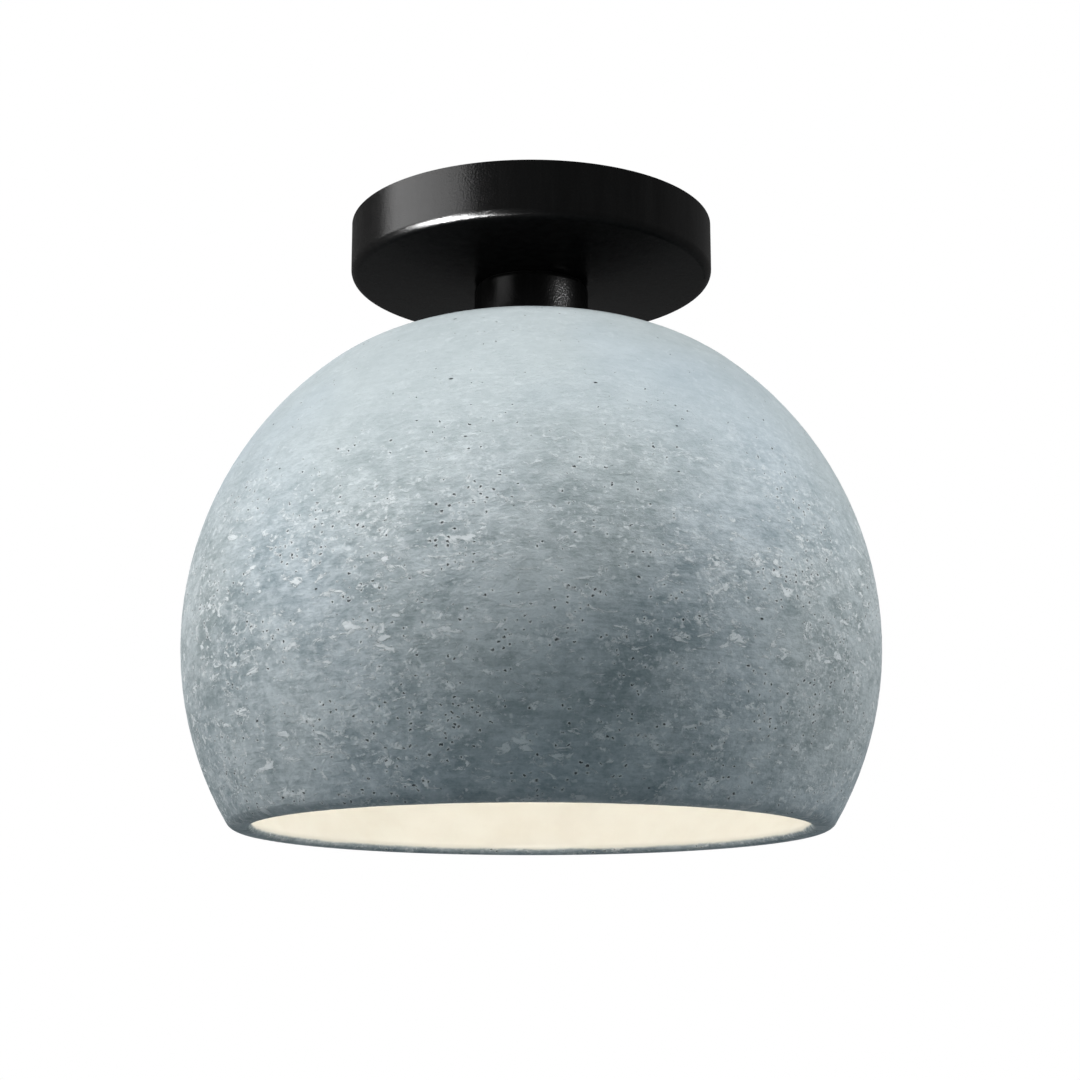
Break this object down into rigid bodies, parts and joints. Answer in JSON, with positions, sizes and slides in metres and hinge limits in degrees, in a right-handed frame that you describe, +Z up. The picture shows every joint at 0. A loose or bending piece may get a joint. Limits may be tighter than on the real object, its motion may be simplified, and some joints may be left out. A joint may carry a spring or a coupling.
{
  "type": "semi flush ceiling light",
  "caption": "Ceiling light with a truncated globe shade of dark stoneware on a short black neck and round canopy, with one screw base lamp inside.",
  "frame": {"origin": "centre of the canopy's rim on the ceiling plane, between the two box screws", "axes": "+Z up through the ceiling along the light's axis, +X along the crossbar towards one box screw, +Y away from the camera of the picture"},
  "size_m": [0.2476, 0.2476, 0.2378],
  "materials": {
    "zinc_steel": "bright zinc plate",
    "green_steel": "green dye over plated steel",
    "black_metal": "satin to gloss black powder coat",
    "black_rubber": "matte",
    "stoneware": "matte blue grey stoneware with pits and pale flecks outside, smooth cream glaze inside",
    "porcelain": "white glaze",
    "shell_brass": "rolled, bright",
    "contact_brass": "bright",
    "nickel_plate": "nickel plate",
    "black_glass": "gloss",
    "white_plastic": "fine matte",
    "board_metal": "white solder mask",
    "phosphor": "matte",
    "opal": "opal, lit warm white"
  },
  "bodies": {
    "fixture": {"crossbar": "zinc_steel", "box_screws": "zinc_steel", "ground_screw": "green_steel", "nipple": "zinc_steel", "crossbar_locknut": "zinc_steel", "canopy": "black_metal", "canopy_plate": "zinc_steel", "neck_tube": "black_metal", "neck_base": "black_metal", "crown_gasket": "black_rubber", "shade": "stoneware", "inner_gasket": "black_rubber", "clamp_washer": "zinc_steel", "lock_washer": "zinc_steel", "clamp_nut": "zinc_steel", "socket_bracket": "zinc_steel", "set_screw": "zinc_steel", "bracket_screws": "zinc_steel", "socket_body": "porcelain", "screw_shell": "shell_brass", "shell_rivets": "shell_brass", "centre_contact": "contact_brass", "shell_terminal": "nickel_plate", "hot_screw": "contact_brass", "neutral_screw": "nickel_plate"},
    "lamp": {"lamp_tip": "contact_brass", "lamp_insulator": "black_glass", "lamp_base": "nickel_plate", "lamp_housing": "white_plastic", "lamp_board": "board_metal", "lamp_chips": "phosphor", "lamp_diffuser": "opal"}
  },
  "joints": [
    {"name": "lamp_out", "type": "slide", "parent": "fixture", "child": "lamp", "axis": [0, 0, -1], "range_m": [0, 0.14]}
  ]
}
